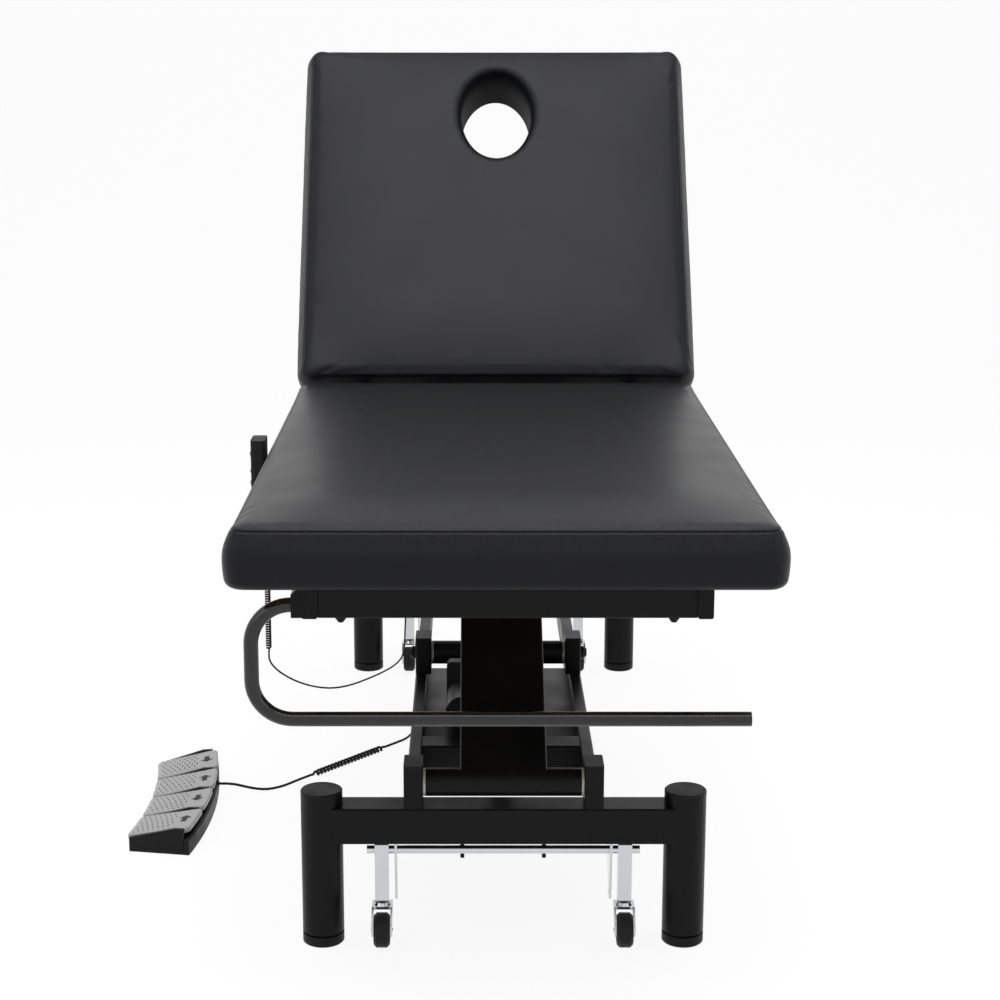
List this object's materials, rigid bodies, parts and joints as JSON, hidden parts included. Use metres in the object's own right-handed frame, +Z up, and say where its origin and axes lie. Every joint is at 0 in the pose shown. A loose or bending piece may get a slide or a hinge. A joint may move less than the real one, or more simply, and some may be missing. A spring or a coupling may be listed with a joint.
{
  "type": "electric treatment table",
  "caption": "Electric treatment table: padded seat, tilting backrest with a face hole, powered parallelogram lift, corner posts, folding casters, paper-roll bar, handset and foot switch.",
  "frame": {"origin": "on the floor, midway between the four corner posts", "axes": "+Z up, +Y along the table to the head end, +X to the right seen from the foot end"},
  "size_m": [0.9515, 1.6811, 1.2549],
  "materials": {
    "frame_paint": "satin black powder coat",
    "bar_paint": "gloss black",
    "black_leatherette": "smooth black coated fabric with stitched seams",
    "plywood": "sealed plywood",
    "chrome": "bright plate",
    "wheel_rubber": "matt black",
    "treadle_grey": "grey moulded with raised dots",
    "nylon": "white nylon",
    "key_grey": "grey moulded",
    "cord_rubber": "black jacket",
    "black_plastic": "fine-grained black",
    "actuator_casing": "dark grey enamel",
    "brushed_steel": "ground steel"
  },
  "bodies": {
    "base": {"corner_posts": "frame_paint", "post_caps": "black_plastic", "levelling_feet": "black_plastic", "front_beam": "frame_paint", "rear_beam": "frame_paint", "base_rails": "frame_paint", "lead_gland": "black_plastic", "base_plate": "frame_paint", "cross_members": "frame_paint", "pivot_brackets": "frame_paint", "base_bolts": "frame_paint", "lift_clevis": "frame_paint", "caster_hangers": "chrome", "switch_base": "black_plastic", "switch_pins": "chrome", "switch_lead": "cord_rubber", "switch_coil": "cord_rubber", "switch_lead_inner": "cord_rubber"},
    "front_arm": {"front_arm": "frame_paint", "front_arm_bushes": "nylon"},
    "rear_arm": {"rear_arm": "frame_paint", "rear_arm_bushes": "nylon"},
    "lift_actuator": {"lift_actuator": "actuator_casing"},
    "lift_rod": {"lift_rod": "brushed_steel"},
    "table_frame": {"side_rails": "frame_paint", "cross_tubes": "frame_paint", "subframe_rails": "frame_paint", "frame_bolts": "frame_paint", "seat_board": "plywood", "seat_pad": "black_leatherette", "control_box": "black_plastic", "roll_bar_socket": "frame_paint", "roll_bar": "bar_paint", "handset_hook": "frame_paint", "handset": "black_plastic", "handset_coil": "cord_rubber", "handset_lead": "cord_rubber", "hinge_brackets": "frame_paint"},
    "height_key": {"height_key": "key_grey"},
    "back_key": {"back_key": "key_grey"},
    "backrest": {"back_board": "plywood", "back_pad": "black_leatherette", "face_sleeve": "black_leatherette", "back_frame": "frame_paint"},
    "back_actuator": {"back_actuator": "actuator_casing"},
    "back_rod": {"back_rod": "brushed_steel"},
    "front_caster_axle": {"front_caster_axle": "chrome"},
    "rear_caster_axle": {"rear_caster_axle": "chrome"},
    "front_left_fork": {"caster_fork_front_left": "chrome"},
    "front_left_wheel": {"caster_wheel_front_left": "wheel_rubber"},
    "front_right_fork": {"caster_fork_front_right": "chrome"},
    "front_right_wheel": {"caster_wheel_front_right": "wheel_rubber"},
    "rear_left_fork": {"caster_fork_rear_left": "chrome"},
    "rear_left_wheel": {"caster_wheel_rear_left": "wheel_rubber"},
    "rear_right_fork": {"caster_fork_rear_right": "chrome"},
    "rear_right_wheel": {"caster_wheel_rear_right": "wheel_rubber"},
    "treadle_1": {"treadle_1": "treadle_grey"},
    "treadle_2": {"treadle_2": "treadle_grey"},
    "treadle_3": {"treadle_3": "treadle_grey"},
    "treadle_4": {"treadle_4": "treadle_grey"}
  },
  "joints": [
    {"name": "lift", "type": "hinge", "parent": "base", "child": "front_arm", "pos_m": [0, -0.6665, 0.242], "axis": [1, 0, 0], "range_deg": [-12, 36]},
    {"name": "frame_level", "type": "hinge", "parent": "front_arm", "child": "table_frame", "pos_m": [0, -0.16767, 0.53], "axis": [1, 0, 0], "range_deg": [-36, 12]},
    {"name": "rear_arm_pivot", "type": "hinge", "parent": "base", "child": "rear_arm", "pos_m": [0, -0.0265, 0.242], "axis": [1, 0, 0], "range_deg": [-12, 36]},
    {"name": "lift_actuator_pivot", "type": "hinge", "parent": "base", "child": "lift_actuator", "pos_m": [0, -0.109, 0.232], "axis": [1, 0, 0], "range_deg": [-10.09, 3.36]},
    {"name": "lift_rod_slide", "type": "slide", "parent": "lift_actuator", "child": "lift_rod", "axis": [0, -0.9897, 0.1432], "range_m": [-0.02136, 0.06409]},
    {"name": "backrest_hinge", "type": "hinge", "parent": "table_frame", "child": "backrest", "pos_m": [0, 0.15653, 0.664], "axis": [1, 0, 0], "range_deg": [-56.2, 13.8]},
    {"name": "back_actuator_pivot", "type": "hinge", "parent": "table_frame", "child": "back_actuator", "pos_m": [0, -0.12267, 0.55], "axis": [1, 0, 0], "range_deg": [-5.41, 1.33]},
    {"name": "back_rod_slide", "type": "slide", "parent": "back_actuator", "child": "back_rod", "axis": [0, 0.9893, 0.1456], "range_m": [-0.08534, 0.02095]},
    {"name": "front_caster_fold", "type": "hinge", "parent": "base", "child": "front_caster_axle", "pos_m": [0, -0.6665, 0.1395], "axis": [-1, 0, 0], "range_deg": [0, 80]},
    {"name": "front_left_swivel", "type": "hinge", "parent": "front_caster_axle", "child": "front_left_fork", "pos_m": [-0.1745, -0.6665, 0.06], "axis": [0, 0, 1], "continuous": true},
    {"name": "front_left_wheel_spin", "type": "hinge", "parent": "front_left_fork", "child": "front_left_wheel", "pos_m": [-0.1745, -0.6905, 0.026], "axis": [1, 0, 0], "continuous": true},
    {"name": "front_right_swivel", "type": "hinge", "parent": "front_caster_axle", "child": "front_right_fork", "pos_m": [0.1745, -0.6665, 0.06], "axis": [0, 0, 1], "continuous": true},
    {"name": "front_right_wheel_spin", "type": "hinge", "parent": "front_right_fork", "child": "front_right_wheel", "pos_m": [0.1745, -0.6905, 0.026], "axis": [1, 0, 0], "continuous": true},
    {"name": "rear_caster_fold", "type": "hinge", "parent": "base", "child": "rear_caster_axle", "pos_m": [0, 0.6665, 0.1395], "axis": [1, 0, 0], "range_deg": [0, 80]},
    {"name": "rear_left_swivel", "type": "hinge", "parent": "rear_caster_axle", "child": "rear_left_fork", "pos_m": [-0.1745, 0.6665, 0.06], "axis": [0, 0, 1], "continuous": true},
    {"name": "rear_left_wheel_spin", "type": "hinge", "parent": "rear_left_fork", "child": "rear_left_wheel", "pos_m": [-0.1745, 0.6425, 0.026], "axis": [1, 0, 0], "continuous": true},
    {"name": "rear_right_swivel", "type": "hinge", "parent": "rear_caster_axle", "child": "rear_right_fork", "pos_m": [0.1745, 0.6665, 0.06], "axis": [0, 0, 1], "continuous": true},
    {"name": "rear_right_wheel_spin", "type": "hinge", "parent": "rear_right_fork", "child": "rear_right_wheel", "pos_m": [0.1745, 0.6425, 0.026], "axis": [1, 0, 0], "continuous": true},
    {"name": "treadle_1_press", "type": "hinge", "parent": "base", "child": "treadle_1", "pos_m": [-0.50628, -0.29678, 0.036], "axis": [-0.1298, -0.9915, 0], "range_deg": [0, 4], "stiffness_Nm_per_rad": 2, "springref_deg": -5.73},
    {"name": "treadle_2_press", "type": "hinge", "parent": "base", "child": "treadle_2", "pos_m": [-0.49803, -0.20205, 0.036], "axis": [-0.0434, -0.9991, 0], "range_deg": [0, 4], "stiffness_Nm_per_rad": 2, "springref_deg": -5.73},
    {"name": "treadle_3_press", "type": "hinge", "parent": "base", "child": "treadle_3", "pos_m": [-0.49803, -0.10695, 0.036], "axis": [0.0434, -0.9991, 0], "range_deg": [0, 4], "stiffness_Nm_per_rad": 2, "springref_deg": -5.73},
    {"name": "treadle_4_press", "type": "hinge", "parent": "base", "child": "treadle_4", "pos_m": [-0.50628, -0.01222, 0.036], "axis": [0.1298, -0.9915, 0], "range_deg": [0, 4], "stiffness_Nm_per_rad": 2, "springref_deg": -5.73},
    {"name": "height_key_rock", "type": "hinge", "parent": "table_frame", "child": "height_key", "pos_m": [-0.374, -0.39967, 0.655], "axis": [0, 1, 0], "range_deg": [-5, 5], "stiffness_Nm_per_rad": 0.05},
    {"name": "back_key_rock", "type": "hinge", "parent": "table_frame", "child": "back_key", "pos_m": [-0.374, -0.39967, 0.611], "axis": [0, 1, 0], "range_deg": [-5, 5], "stiffness_Nm_per_rad": 0.05}
  ],
  "couplings": [
    {"joint": "frame_level", "follows": "lift", "ratio": -1},
    {"joint": "rear_arm_pivot", "follows": "lift", "ratio": 1},
    {"joint": "lift_actuator_pivot", "follows": "lift", "ratio": -0.2803},
    {"joint": "lift_rod_slide", "follows": "lift", "m_per_rad": 0.102},
    {"joint": "back_actuator_pivot", "follows": "backrest_hinge", "ratio": 0.0962},
    {"joint": "back_rod_slide", "follows": "backrest_hinge", "m_per_rad": 0.087}
  ]
}
